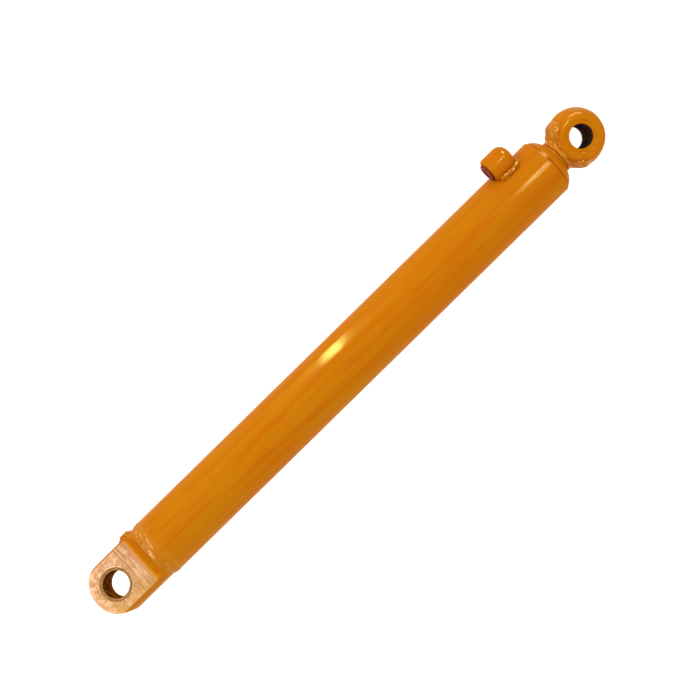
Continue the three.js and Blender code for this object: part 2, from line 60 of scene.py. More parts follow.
MM = 0.001
ROUND = 256  # steps round a large turned piece
RING_ROUND = 192  # steps round a ring or a seal
SMALL_ROUND = 96  # steps round a plug
SHARP_DEGREES = 40  # edges sharper than this are shaded sharp
GAP = 0.3  # clearance between a ring and its groove
EYE_ROLL = math.radians(19)  # how far the rod is turned in the barrel
ROD_PORT_ANGLE = math.radians(50)  # from +Z towards +Y, as are the next two
BASE_PORT_ANGLE = math.radians(80)
LOCK_ANGLE = math.radians(215)


# -------- sizes, some of them read from the frame

def node_points(node):
    """A CAD node's vertices in millimetres."""
    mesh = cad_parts[node].data
    flat = np.zeros(len(mesh.vertices) * 3)
    mesh.vertices.foreach_get("co", flat)
    return flat.reshape(-1, 3) / MM


def turned_about_x(points, angle):
    """Points turned about +X by angle."""
    c, s = math.cos(angle), math.sin(angle)
    x, y, z = points.T
    return np.stack([x, y * c - z * s, y * s + z * c], 1)


def span(node, roll=0.0, out=0.0):
    """Start, end, inner and outer radius of a node turned about X, or about an axis that is out from it."""
    x, y, z = turned_about_x(node_points(node), -roll).T
    radius = np.hypot(y, z - out)
    return x.min(), x.max(), radius.min(), radius.max()


def upright_span(node, centre_x, roll=0.0):
    """Lowest, highest, inner and outer radius of a node turned about a line along Z at centre_x."""
    x, y, z = turned_about_x(node_points(node), -roll).T
    radius = np.hypot(x - centre_x, y)
    return z.min(), z.max(), radius.min(), radius.max()


TUBE_START, TUBE_END, BORE_R, TUBE_R = span("barrel_tube")
TANG_R = 38.4  # the cap's bar, and so half the tang's width
TANG_HALF = 18.5  # half the tang's thickness
TANG_TIP = -node_points("base_cap")[:, 0].min()
TANG_CORNER_R = 37.2  # rounding of the tang's end
TANG_END = 43.0  # where the flats run out into the ramp
COLLAR_START = 61.0  # where the ramp reaches the full bar
COLLAR_END = 61.5  # where the weld groove starts
GROOVE_ROOT_X = 65.5
GROOVE_ROOT_R = 33.0
TUBE_GROOVE_END = 73.0  # where the weld groove ends on the tube
SPIGOT_END = 88.0
CAP_HOLE_R = 20.6
BASE_PORT_X = 46.0
WELD_PASSES = 3
WELD_VALLEY = 0.45  # depth between two passes of the weld
WELD_RIPPLES = 86  # ripples round the cylinder in one pass
PIN_CENTRES = 814.0
EYE_BORE_R = 20.0
EYE_R = 38.6
EYE_HALF = 24.0
PAINTED_FROM = 775.4  # the rod is painted beyond here
ROD_PORT_OUT = 52.7  # from the cylinder's axis to the boss's
ROD_PORT_R = 16.93
ROD_PORT_ROUNDING = 12.0
ROD_PORT_START, ROD_PORT_END = span("rod_port_boss")[:2]
LOCK_X = 752.0
LOCK_R = 3.8
NUT_SPAN = span("piston_nut", EYE_ROLL)
NUT_FLATS = [math.radians(30 + 60 * i) for i in range(3)]
NUT_FLATS_R = 20.5  # half the width across flats
NUT_CROWN_R = 22.6  # the nut's corners are turned down to this radius


# -------- mesh helpers

def add_object(name, data):
    """A new object in the scene."""
    made = bpy.data.objects.new(name, data)
    bpy.context.scene.collection.objects.link(made)
    return made


def make_object(name, points, faces, sharp_degrees=SHARP_DEGREES):
    """An object from points in millimetres, smooth but for edges sharper than the given angle."""
    mesh = bpy.data.meshes.new(name)
    mesh.from_pydata((np.asarray(points) * MM).tolist(), [], faces)
    mesh.validate()
    mesh.shade_smooth()
    mesh.set_sharp_from_angle(angle=math.radians(sharp_degrees))
    return add_object(name, mesh)


def read_points(obj):
    """An object's vertices in millimetres."""
    flat = np.zeros(len(obj.data.vertices) * 3)
    obj.data.vertices.foreach_get("co", flat)
    return flat.reshape(-1, 3) / MM


def write_points(obj, points):
    """Moves an object's vertices to points in millimetres."""
    obj.data.vertices.foreach_set("co", (points * MM).ravel())
    obj.data.update()


def turn_object(obj, angle, shift=(0.0, 0.0, 0.0)):
    """Moves an object's mesh by shift in millimetres, then turns it about +X."""
    write_points(obj, turned_about_x(read_points(obj) + np.array(shift), angle))
    return obj


def apply_modifiers(obj):
    """Replaces an object's mesh with its modified one."""
    graph = bpy.context.evaluated_depsgraph_get()
    mesh = bpy.data.meshes.new_from_object(obj.evaluated_get(graph))
    obj.modifiers.clear()
    obj.data = mesh
    return obj


def rounded_outline(outline, radius):
    """A closed outline with every corner rounded in four steps, as far as its sides allow."""
    corners = [np.array(p, float) for p in outline]
    result = []
    for i, corner in enumerate(corners):
        before, after = corners[i - 1] - corner, corners[(i + 1) % len(corners)] - corner
        reach = min(radius, 0.45 * np.linalg.norm(before), 0.45 * np.linalg.norm(after))
        first = corner + before / np.linalg.norm(before) * reach
        last = corner + after / np.linalg.norm(after) * reach
        for t in (0, 0.25, 0.5, 0.75, 1):
            result.append((1 - t) ** 2 * first + 2 * t * (1 - t) * corner + t ** 2 * last)
    return result


def grid_faces(rows, columns, closed_rows=True, closed_columns=True):
    """Faces between neighbouring rows of points. A closed grid joins its last row or column to its first."""
    faces = []
    for i in range(rows if closed_rows else rows - 1):
        here, there = i * columns, ((i + 1) % rows) * columns
        for j in range(columns if closed_columns else columns - 1):
            k = (j + 1) % columns
            faces.append((here + j, here + k, there + k, there + j))
    return faces


def turned_points(profile, sides, swell=None):
    """The points of an [x, radius] profile at even steps round X, one whole profile after another."""
    shape = (sides, len(profile))
    x = np.broadcast_to(profile[:, 0], shape)
    radius = np.broadcast_to(profile[:, 1], shape)
    angle = np.broadcast_to(np.arange(sides)[:, None] * (2 * math.pi / sides), shape)
    if swell is not None:
        radius = radius + swell(x, radius, angle)
    return np.stack([x, radius * np.sin(angle), radius * np.cos(angle)], 2).reshape(-1, 3)


def lathe(name, outline, sides=ROUND, swell=None):
    """A ring turned about X from a closed [x, radius] outline.

    swell(x, radius, angle) gives what is added to the radius.
    """
    profile = np.array(outline)
    x, radius = profile.T
    clockwise = np.sum(x * np.roll(radius, -1) - np.roll(x, -1) * radius) < 0
    # A face's first point decides which diagonal it is split along.
    faces = [(b, c, d, a) for a, b, c, d in grid_faces(sides, len(profile))]
    if clockwise:
        faces = [face[::-1] for face in faces]
    return make_object(name, turned_points(profile, sides, swell), faces)


def solid_lathe(name, outline, sides=SMALL_ROUND):
    """A solid turned about X from an open [x, radius] outline whose ends are closed with flat discs."""
    profile = np.array(outline)
    count = len(profile)
    faces = grid_faces(sides, count, closed_columns=False)
    faces.append([i * count for i in range(sides)])
    faces.append([i * count + count - 1 for i in reversed(range(sides))])
    return make_object(name, turned_points(profile, sides), faces)


def stand_up(obj, centre_x=0.0):
    """Turns what was made along X so that it runs along +Z at centre_x."""
    x, y, z = read_points(obj).T
    write_points(obj, np.stack([centre_x - z, y, x], 1))
    return obj


def cut(obj, tool):
    """Cuts the tool out of an object and deletes it."""
    step = obj.modifiers.new("cut", "BOOLEAN")
    step.operation = "DIFFERENCE"
    step.solver = "EXACT"
    step.object = tool
    apply_modifiers(obj)
    bpy.data.objects.remove(tool)
    obj.data.shade_smooth()
    obj.data.set_sharp_from_angle(angle=math.radians(SHARP_DEGREES))
    return obj


def remeshed(name, node, voxel):
    """A new object with a CAD node's shape in small even faces."""
    made = add_object(name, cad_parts[node].data.copy())
    made.data.name = name
    made.data.materials.clear()
    step = made.modifiers.new("even", "REMESH")
    step.mode = "VOXEL"
    step.voxel_size = voxel * MM
    apply_modifiers(made)
    made.data.shade_smooth()
    return made


def smooth_max(a, b, width):
    """The larger of a and b, with the crease between them rounded over about width."""
    h = np.clip(0.5 + 0.5 * (a - b) / width, 0, 1)
    return b * (1 - h) + a * h + width * h * (1 - h)


def slope(field, points):
    """How fast field(points) grows along x, y and z, one row for each point."""
    step = 0.05
    rises = [field(points + offset) - field(points - offset) for offset in step * np.eye(3)]
    return np.stack(rises, 1) / (2 * step)


def settle(obj, field, roll=0.0):
    """Moves every vertex on to the smooth surface where field(points) is 0, in six short moves."""
    longest_move = 0.8
    points = turned_about_x(read_points(obj), -roll)
    for _ in range(6):
        uphill = slope(field, points)
        move = -field(points)[:, None] * uphill / np.maximum((uphill ** 2).sum(1), 0.2)[:, None]
        length = np.linalg.norm(move, axis=1, keepdims=True)
        points = points + move * np.minimum(1, longest_move / np.maximum(length, 1e-9))
    write_points(obj, turned_about_x(points, roll))
    return obj


def lumps(points, size, seed):
    """Smooth uneven values between about -1 and 1, with bumps about size millimetres across."""
    random = np.random.default_rng(seed)
    total = np.zeros(len(points))
    for _ in range(9):
        direction = random.normal(size=3)
        direction *= (2 * math.pi / size) * random.uniform(0.35, 0.75) / np.linalg.norm(direction)
        total += np.sin(points @ direction + random.uniform(0, 2 * math.pi))
    return total / 3.2


def push_out(obj, distance):
    """Moves each vertex along its normal by its own distance in millimetres."""
    normals = np.zeros(len(obj.data.vertices) * 3)
    obj.data.vertices.foreach_get("normal", normals)
    write_points(obj, read_points(obj) + normals.reshape(-1, 3) * distance[:, None])
    return obj


# -------- material helpers

def start_material(name):
    """A new material, its node tree and its shader."""
    material = bpy.data.materials.new(name)
    material.use_nodes = True
    tree = material.node_tree
    shader = next(n for n in tree.nodes if n.type == "BSDF_PRINCIPLED")
    return material, tree, shader


def fill_socket(tree, socket, value):
    """Links a socket to another socket, or gives it a plain value."""
    if isinstance(value, bpy.types.NodeSocket):
        tree.links.new(value, socket)
    else:
        socket.default_value = value


def add_node(tree, kind, **inputs):
    """A shader node with its sockets filled from inputs, named with _ for each space."""
    made = tree.nodes.new(kind)
    for key, value in inputs.items():
        fill_socket(tree, made.inputs[key.replace("_", " ")], value)
    return made


def place_coords(tree, stretch=(1.0, 1.0, 1.0)):
    """The place on the object, in metres, with each axis multiplied by its stretch."""
    coords = add_node(tree, "ShaderNodeTexCoord")
    return add_node(tree, "ShaderNodeMapping", Vector=coords.outputs["Object"], Scale=stretch).outputs[0]


def split_vector(tree, vector):
    """The x, y and z of a vector."""
    return add_node(tree, "ShaderNodeSeparateXYZ", Vector=vector).outputs


def flatness(tree, low, high):
    """1 where the surface faces along Z, falling to 0 where it leans away from Z."""
    coords = add_node(tree, "ShaderNodeTexCoord")
    normal_z = split_vector(tree, coords.outputs["Normal"])[2]
    return remap(tree, math_node(tree, "ABSOLUTE", normal_z), low, high)


def noise(tree, place, scale, detail=3.0, roughness=0.55):
    made = add_node(tree, "ShaderNodeTexNoise", Vector=place, Scale=scale, Detail=detail, Roughness=roughness)
    return made.outputs["Fac"]


def remap(tree, value, low, high, new_low=0.0, new_high=1.0):
    """Low to high becomes new_low to new_high, and what lies outside is held at their ends."""
    made = add_node(tree, "ShaderNodeMapRange", Value=value, From_Min=low, From_Max=high,
                    To_Min=new_low, To_Max=new_high)
    return made.outputs[0]


def math_node(tree, operation, a, b=0.0):
    made = tree.nodes.new("ShaderNodeMath")
    made.operation = operation
    for socket, value in zip(made.inputs, (a, b)):
        fill_socket(tree, socket, value)
    return made.outputs[0]


def multiply(tree, a, b):
    return math_node(tree, "MULTIPLY", a, b)


def distance_node(tree, a, b):
    """The length of the flat vector (a, b)."""
    return math_node(tree, "SQRT", math_node(tree, "ADD", multiply(tree, a, a), multiply(tree, b, b)))


def mix_colour(tree, share, first, second):
    """The first colour where share is 0 and the second where it is 1."""
    made = tree.nodes.new("ShaderNodeMix")
    made.data_type = "RGBA"
    fill_socket(tree, made.inputs[0], share)
    for socket, colour in ((made.inputs[6], first), (made.inputs[7], second)):
        fill_socket(tree, socket, (*colour, 1.0) if isinstance(colour, tuple) else colour)
    return made.outputs[2]


def layered(tree, colour, *layers):
    """A colour with layers over it, each a share and a colour."""
    for share, over in layers:
        colour = mix_colour(tree, share, colour, over)
    return colour


def feed(shader, name, value):
    """Links one of a shader's inputs to a socket, or gives it a plain value."""
    fill_socket(shader.id_data, shader.inputs[name], value)


def add_bump(tree, shader, height, strength, distance, under=None):
    """Bumps the shader's normal, on top of the bump under if there is one."""
    made = add_node(tree, "ShaderNodeBump", Height=height, Strength=strength, Distance=distance)
    if under is not None:
        tree.links.new(under, made.inputs["Normal"])
    feed(shader, "Normal", made.outputs[0])
    return made.outputs[0]


def edge_wear(tree, low, high):
    """0 on flat surfaces, rising to 1 along outer edges."""
    geometry = add_node(tree, "ShaderNodeNewGeometry")
    return remap(tree, geometry.outputs["Pointiness"], low, high)


def set_gloss(shader, specular, coat=0.0, coat_roughness=0.03):
    """The enamel's warm gloss, most of which comes from its coat."""
    feed(shader, "Specular IOR Level", specular)
    feed(shader, "Specular Tint", GLOSS_TINT)
    feed(shader, "Coat Weight", coat)
    feed(shader, "Coat Roughness", coat_roughness)


# -------- materials

PAINT = (0.480, 0.136, 0.0006)
PAINT_LIGHT = (0.475, 0.158, 0.0008)
PAINT_DARK = (0.47, 0.103, 0.0004)
PAINT_WORN = (0.62, 0.30, 0.06)
# The colour of the painted shade in the joint between the tube and the gland.
JOINT_SHADE = (0.16, 0.035, 0.001)
SPECK = (0.22, 0.065, 0.004)
# The colour of the painted shade in the hollows of the weld's ripples.
HOLLOW_SHADE = (0.20, 0.045, 0.001)
THIN_PAINT = (0.50, 0.215, 0.004)
GLOSS_TINT = (1.0, 0.80, 0.20, 1.0)


def paint_colour(tree, wear=0.55):
    """Orange enamel: broad patches, fine streaks along the cylinder, specks, and thin paint on the edges."""
    place = place_coords(tree)
    along = place_coords(tree, (4.0, 60.0, 60.0))
    patches = remap(tree, noise(tree, place, 9.0, 2.0), 0.35, 0.65)
    streaks = remap(tree, noise(tree, along, 2.2, 3.0, 0.6), 0.48, 0.66, 0.0, 0.75)
    specks = remap(tree, noise(tree, place, 700.0, 2.0), 0.70, 0.78, 0.0, 0.35)
    broken = remap(tree, noise(tree, place, 260.0, 4.0), 0.40, 0.60, 0.15, 1.0)
    worn = multiply(tree, multiply(tree, edge_wear(tree, 0.525, 0.60), broken), wear)
    return layered(
        tree, PAINT,
        (patches, PAINT_LIGHT), (streaks, PAINT_DARK), (specks, SPECK), (worn, PAINT_WORN))


def paint_roughness(tree, place):
    """Patches of duller and glossier enamel."""
    return remap(tree, noise(tree, place, 22.0, 3.0), 0.3, 0.7, 0.27, 0.40)


def paint_surface(tree, shader, peel):
    """Gloss and orange peel of the enamel."""
    place = place_coords(tree)
    feed(shader, "Roughness", paint_roughness(tree, place))
    set_gloss(shader, 0.01, 0.055, 0.09)
    wide = add_bump(tree, shader, noise(tree, place, 70.0, 2.0), 0.5, 0.00022)
    add_bump(tree, shader, noise(tree, place, 520.0, 3.0), peel, 0.00016, wide)


def paint_material(name, peel=0.10, joint=None):
    """Enamel. A thin dark line of painted shade lies in a joint round the cylinder, if one is named, at joint
    millimetres.
    """
    material, tree, shader = start_material(name)
    colour = paint_colour(tree)
    if joint is not None:
        place = place_coords(tree)
        along = math_node(tree, "SUBTRACT", split_vector(tree, place)[0], joint * MM)
        apart = math_node(tree, "ABSOLUTE", along)
        close = remap(tree, apart, 0.0009, 0.0006, 0.0, 0.85)
        patchy = remap(tree, noise(tree, place, 60.0, 2.0), 0.40, 0.55, 0.25, 1.0)
        # Painted shade: a ragged dark line darkens the enamel along the joint, for the shade in its gap.
        colour = mix_colour(tree, multiply(tree, close, patchy), colour, JOINT_SHADE)
    feed(shader, "Base Color", colour)
    paint_surface(tree, shader, peel)
    return material


def weld_paint_material(name):
    """The same enamel over weld metal: glossier, thin in places, with painted shade in the hollows of its
    ripples.
    """
    material, tree, shader = start_material(name)
    place = place_coords(tree)
    # Painted shade: the enamel is darkened where the surface is hollow, in the weld's ripples.
    hollow = add_node(tree, "ShaderNodeNewGeometry").outputs["Pointiness"]
    hollow_shade = remap(tree, hollow, 0.49, 0.43, 0.0, 0.7)
    thin = remap(tree, noise(tree, place, 110.0, 3.0), 0.48, 0.60, 0.0, 0.55)
    feed(shader, "Base Color", layered(tree, paint_colour(tree, 0.3), (thin, THIN_PAINT), (hollow_shade, HOLLOW_SHADE)))
    set_gloss(shader, 0.03, 0.15, 0.12)
    feed(shader, "Roughness", remap(tree, noise(tree, place, 90.0, 3.0), 0.3, 0.7, 0.14, 0.28))
    wide = add_bump(tree, shader, noise(tree, place, 240.0, 2.0), 1.0, 0.0015)
    add_bump(tree, shader, noise(tree, place, 1400.0, 2.0), 0.25, 0.00015, wide)
    return material


def milled_metal(tree, place, x, y, mottle, lines, pits, from_hole):
    """The tang's bare flat: mottled round its hole, and banded by the cutter beyond it."""
    bands = noise(tree, cutter_place(tree, place), 210.0, 2.0, 0.6)
    grain = remap(tree, noise(tree, place, 620.0, 3.0, 0.7), 0.42, 0.5)
    beyond_hole = remap(tree, x, 0.016, 0.024, 0.25, 1.0)
    pink_bands = multiply(tree, remap(tree, bands, 0.47, 0.58), beyond_hole)
    grey_bands = multiply(tree, remap(tree, bands, 0.46, 0.38), beyond_hole)
    # The flat is painted a darker brown towards its -y side.
    darker_towards_minus_y = remap(tree, y, -0.004, -0.034, 0.0, 0.75)
    dull_lines = multiply(tree, remap(tree, lines, 0.52, 0.62, 0.0, 0.9), beyond_hole)
    rim = multiply(tree, remap(tree, from_hole, 0.0226, 0.0208), grain)
    return layered(
        tree, (0.49, 0.300, 0.250),
        (remap(tree, mottle, 0.44, 0.56), (0.37, 0.195, 0.115)),
        (pink_bands, (0.37, 0.160, 0.100)),
        (grey_bands, (0.31, 0.200, 0.115)),
        (darker_towards_minus_y, (0.30, 0.16, 0.045)),
        (dull_lines, (0.24, 0.105, 0.045)),
        (multiply(tree, pits, 0.85), (0.25, 0.135, 0.05)),
        (rim, (0.16, 0.06, 0.012)),
        (multiply(tree, edge_wear(tree, 0.51, 0.56), 0.9), (0.68, 0.42, 0.20)),
    )


def cutter_place(tree, place):
    """The place for patterns drawn out along the cutter's path, across the tang."""
    return add_node(tree, "ShaderNodeMapping", Vector=place, Scale=(1.0, 0.05, 0.05)).outputs[0]


def bare_flat(tree, place, x, z):
    """1 on the tang's two milled flats and 0 elsewhere, with a ragged edge of paint at the ramp."""
    near_flat = remap(tree, math_node(tree, "ABSOLUTE", z), (TANG_HALF + 0.5) * MM, (TANG_HALF + 0.2) * MM)
    ragged = multiply(tree, noise(tree, place, 300.0, 3.0), 0.0016)
    edge = math_node(tree, "ADD", x, ragged)
    before_ramp = remap(tree, edge, (TANG_END + 1.6) * MM, (TANG_END + 1.2) * MM)
    return multiply(tree, multiply(tree, flatness(tree, 0.80, 0.90), near_flat), before_ramp)


def cap_material(name):
    """Painted bar with bare milled flats."""
    material, tree, shader = start_material(name)
    place = add_node(tree, "ShaderNodeTexCoord").outputs["Object"]
    x, y, z = split_vector(tree, place)
    bare = bare_flat(tree, place, x, z)
    mottle = noise(tree, place, 150.0, 4.0, 0.7)
    lines = noise(tree, cutter_place(tree, place), 700.0, 2.0, 0.6)
    from_hole = distance_node(tree, x, y)
    pitted = remap(tree, noise(tree, place, 360.0, 3.0, 0.7), 0.50, 0.58)
    pits = multiply(tree, pitted, remap(tree, from_hole, 0.034, 0.024))
    metal = milled_metal(tree, place, x, y, mottle, lines, pits, from_hole)
    feed(shader, "Base Color", mix_colour(tree, bare, paint_colour(tree), metal))
    feed(shader, "Metallic", multiply(tree, bare, 0.04))

    bare_roughness = remap(tree, mottle, 0.3, 0.7, 0.42, 0.62)
    roughness = add_node(tree, "ShaderNodeMix", Factor=bare, A=paint_roughness(tree, place), B=bare_roughness)
    feed(shader, "Roughness", roughness.outputs[0])
    set_gloss(shader, 0.02)
    under = add_bump(tree, shader, noise(tree, place, 70.0, 2.0), 0.35, 0.0002)
    marks = multiply(tree, math_node(tree, "ADD", lines, pits), bare)
    add_bump(tree, shader, marks, 0.5, 0.00025, under)
    return material


def metal_material(name, colour, second, roughness):
    """Turned metal with fine tool marks and patches of a second shade."""
    material, tree, shader = start_material(name)
    patches = remap(tree, noise(tree, place_coords(tree), 70.0, 4.0), 0.35, 0.65)
    feed(shader, "Base Color", mix_colour(tree, patches, colour, second))
    feed(shader, "Metallic", 1.0)
    scratches = noise(tree, place_coords(tree, (60.0, 900.0, 900.0)), 1.0, 3.0, 0.6)
    uneven = remap(tree, scratches, 0.3, 0.7, roughness * 0.75, roughness * 1.3)
    feed(shader, "Roughness", uneven)
    add_bump(tree, shader, scratches, 0.15, 0.00008)
    return material


def bush_material(name, bore, bore_second, end):
    """A bush with a greased bore, darkened further with painted shade, and paler on its turned ends."""
    material, tree, shader = start_material(name)
    place = add_node(tree, "ShaderNodeTexCoord").outputs["Object"]
    grain = noise(tree, place, 620.0, 3.0, 0.7)
    # The bore's colours carry painted shade as well as the grease's darkness.
    inner = mix_colour(tree, remap(tree, noise(tree, place, 90.0, 3.0), 0.40, 0.60), bore, bore_second)
    outer = mix_colour(tree, remap(tree, grain, 0.46, 0.56), end, tuple(c * 0.35 for c in end))
    feed(shader, "Base Color", mix_colour(tree, flatness(tree, 0.35, 0.80), inner, outer))
    feed(shader, "Roughness", remap(tree, grain, 0.3, 0.7, 0.45, 0.70))
    feed(shader, "Specular IOR Level", 0.0)
    add_bump(tree, shader, grain, 0.2, 0.0001)
    return material


def rod_material(name):
    """Ground and polished chrome. Its last few millimetres, outside the wiper when shut, carry the enamel."""
    material, tree, shader = start_material(name)
    place = place_coords(tree)
    ragged = multiply(tree, noise(tree, place, 420.0, 3.0), 0.0008)
    edge = math_node(tree, "ADD", split_vector(tree, place)[0], ragged)
    painted = remap(tree, edge, PAINTED_FROM * MM, (PAINTED_FROM + 0.4) * MM)
    patches = remap(tree, noise(tree, place, 70.0, 4.0), 0.35, 0.65)
    chrome = mix_colour(tree, patches, (0.44, 0.45, 0.47), (0.40, 0.41, 0.44))
    feed(shader, "Base Color", mix_colour(tree, painted, chrome, paint_colour(tree)))
    feed(shader, "Metallic", remap(tree, painted, 0.0, 1.0, 1.0, 0.0))
    scratches = noise(tree, place_coords(tree, (700.0, 40.0, 40.0)), 1.0, 3.0, 0.6)
    polish = remap(tree, scratches, 0.3, 0.7, 0.08, 0.13)
    feed(shader, "Roughness", math_node(tree, "ADD", polish, multiply(tree, painted, 0.25)))
    add_bump(tree, shader, scratches, 0.04, 0.00008)
    return material


def soft_material(name, colour, second, roughness, specular=0.3):
    """Rubber or plastic: two close shades, faint grain and paler rubbed edges."""
    material, tree, shader = start_material(name)
    place = place_coords(tree)
    shades = mix_colour(tree, remap(tree, noise(tree, place, 160.0, 4.0), 0.35, 0.65), colour, second)
    rubbed = multiply(tree, edge_wear(tree, 0.52, 0.62), 0.35)
    pale = tuple(min(1.0, c * 2.2 + 0.02) for c in second)
    feed(shader, "Base Color", mix_colour(tree, rubbed, shades, pale))
    uneven = remap(tree, noise(tree, place, 420.0, 2.0), 0.3, 0.7, roughness - 0.08, roughness + 0.1)
    feed(shader, "Roughness", uneven)
    feed(shader, "Specular IOR Level", specular)
    add_bump(tree, shader, noise(tree, place, 1500.0, 2.0), 0.2, 0.0001)
    return material


def eye_seal_material(name):
    """Dust seal: its case carries overspray, its lip is bare rubber."""
    material, tree, shader = start_material(name)
    place = place_coords(tree)
    turned = add_node(tree, "ShaderNodeMapping", Vector=place, Rotation=(-EYE_ROLL, 0.0, 0.0))
    x, y, _ = split_vector(tree, turned.outputs[0])
    from_pin = distance_node(tree, math_node(tree, "SUBTRACT", x, PIN_CENTRES * MM), y)
    ragged = multiply(tree, noise(tree, place, 500.0, 3.0), 0.0008)
    painted = remap(tree, math_node(tree, "ADD", from_pin, ragged), 0.0158, 0.0162)
    rubber = mix_colour(tree, noise(tree, place, 300.0, 3.0), (0.012, 0.011, 0.013), (0.03, 0.028, 0.03))
    feed(shader, "Base Color", mix_colour(tree, painted, rubber, paint_colour(tree, 0.0)))
    feed(shader, "Roughness", remap(tree, painted, 0.0, 1.0, 0.55, 0.34))
    set_gloss(shader, 0.01)
    add_bump(tree, shader, noise(tree, place, 900.0, 3.0), 0.2, 0.0001)
    return material


# Each look is a material and the name of the slot that it belongs to.
PAINTED = paint_material("orange_enamel"), "orange_paint"
# The tube and the gland carry a line of painted shade where they meet.
PAINTED_JOINT = paint_material("orange_enamel_with_a_shaded_joint", joint=TUBE_END + 0.1), "orange_paint"
PAINTED_CAST = paint_material("orange_enamel_on_forging", 0.22), "orange_paint"
PAINTED_WELD = weld_paint_material("orange_enamel_on_weld"), "weld_paint"
CAP = cap_material("milled_and_painted"), "machined_steel"
# Each bush's first two colours are its bore's, darkened with painted shade.
BRONZE = bush_material(
    "bush_bronze", (0.260, 0.075, 0.006), (0.060, 0.020, 0.002), (0.50, 0.26, 0.12)), "bush_bronze"
BUSH = bush_material(
    "bush_steel", (0.030, 0.012, 0.040), (0.050, 0.028, 0.008), (0.05, 0.03, 0.02)), "bush_steel"
CHROME = rod_material("hard_chrome_with_overspray"), "chrome_rod"
IRON = metal_material("piston_iron", (0.20, 0.20, 0.21), (0.14, 0.14, 0.15), 0.45), "piston_iron"
HARDWARE = metal_material("black_oxide", (0.10, 0.10, 0.11), (0.06, 0.06, 0.07), 0.42), "hardware_steel"
WIPER = soft_material("wiper_with_overspray", (0.48, 0.136, 0.001), (0.44, 0.105, 0.001), 0.5, 0.04), "rubber"
RUBBER = soft_material("nitrile_rubber", (0.012, 0.012, 0.013), (0.022, 0.021, 0.022), 0.55), "rubber"
URETHANE = soft_material("urethane", (0.02, 0.07, 0.22), (0.03, 0.10, 0.28), 0.42), "urethane"
PHENOLIC = soft_material("guide_band_fabric", (0.26, 0.10, 0.03), (0.34, 0.15, 0.05), 0.6), "phenolic"
EYE_SEAL = eye_seal_material("dust_seal_with_overspray"), "rubber"
PLUG = soft_material("plug_plastic", (0.105, 0.002, 0.001), (0.21, 0.012, 0.006), 0.30, 0.04), "plug_plastic"


def finish_piece(obj, body, node, look):
    """Gives a piece its material, hangs it on its body and hides the CAD node that it stands for."""
    material, slot = look
    obj.data.materials.clear()
    obj.data.materials.append(material)
    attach(obj, body)
    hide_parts(node)
    return obj


def settled_piece(name, body, node, look, voxel, field, roll=0.0):
    """A piece whose even mesh, made from its CAD node, is settled on the surface where field is 0."""
    return finish_piece(settle(remeshed(name, node, voxel), field, roll), body, node, look)


# -------- base end

def ramp_height(x):
    """Half the cap's thickness over the tang and up the hollow ramp to the full bar."""
    share = np.clip((x - TANG_END) / (COLLAR_START - TANG_END), 0, 1)
    lift = 1 - np.sqrt(1 - 0.75 * share ** 2)
    return TANG_HALF + 2 * (TANG_R - TANG_HALF) * lift + np.maximum(x - COLLAR_START, 0) * 4


def port_frame(points, angle, centre_x):
    """Distance along and off a radial line that leaves the axis at centre_x, and the x and y beside it."""
    x, y, z = turned_about_x(points, angle).T
    return z, np.hypot(x - centre_x, y), x, y


def cap_field(points):
    """The base cap: a round bar, milled to a tang with a pin hole, with its oil drilling and its spigot."""
    x, y, z = points.T
    spigot_r = BORE_R - GAP
    bar_radius = np.interp(x, [COLLAR_END, GROOVE_ROOT_X, GROOVE_ROOT_X + 0.4, 2 * SPIGOT_END],
                           [TANG_R, GROOVE_ROOT_R, spigot_r, spigot_r])
    bar = np.hypot(y, z) - bar_radius
    past_x = np.maximum(TANG_CORNER_R - TANG_TIP - x, 0)
    past_y = np.maximum(np.abs(y) - (TANG_R - TANG_CORNER_R), 0)
    plan = np.hypot(past_x, past_y) - TANG_CORNER_R
    flats = (np.abs(z) - ramp_height(x)) * 0.8
    body = smooth_max(smooth_max(bar, plan, 0.8), flats, 1.3)
    body = smooth_max(body, x - SPIGOT_END, 1.0)
    chamfer = np.maximum(np.abs(z) - (TANG_HALF - 1.0), 0) * 0.8
    body = smooth_max(body, CAP_HOLE_R + chamfer - np.hypot(x, y), 0.5)

    drilling_r, passage_r, passage_out = 5.5, 4.5, 18
    out, off, along, across = port_frame(points, BASE_PORT_ANGLE, BASE_PORT_X)
    drilling = np.where(out > passage_out, drilling_r - off, -1.0)
    passage = np.where(along > BASE_PORT_X, passage_r - np.hypot(across, out - passage_out), -1.0)
    return np.maximum(np.maximum(body, drilling), passage)


def pin_bush(name, body, node, look, chamfer, centre_x=0.0, roll=0.0):
    """A bush for a pin along Z, chamfered at both ends of its bore."""
    low, high, inner, outer = upright_span(node, centre_x, roll)
    outline = rounded_outline([
        (low + chamfer, inner), (low, inner + chamfer), (low, outer), (high, outer),
        (high, inner + chamfer), (high - chamfer, inner),
    ], 0.3)
    made = stand_up(lathe(name, outline, RING_ROUND), centre_x)
    return finish_piece(turn_object(made, roll), body, node, look)


def base_weld():
    """Three passes side by side round the cylinder. Their edges sink into the bar and the tube."""
    start, end, _, outer = span("base_weld")
    start, end = start - 0.6, end + 0.6
    middle = (start + end) / 2
    half = (end - start) / 2
    crest = []
    steps = 48
    for i in range(steps + 1):
        share = i / steps
        across = 2 * share - 1
        edge = TANG_R - 0.5 + (TUBE_R - TANG_R) * share
        crown = max(0.0, 1 - abs(across) ** 3)
        valley = WELD_VALLEY - WELD_VALLEY * math.sin(math.pi * WELD_PASSES * share) ** 2
        radius = edge + (outer - 0.05 - edge) * crown - valley * crown
        crest.append((middle + half * across, radius))
    outline = [(GROOVE_ROOT_X + 0.3, GROOVE_ROOT_R + 0.5), *crest]
    made = lathe("base_weld_bead", outline, 12 * WELD_RIPPLES, weld_ripples(start, end))
    return finish_piece(made, "barrel", "base_weld", PAINTED_WELD)


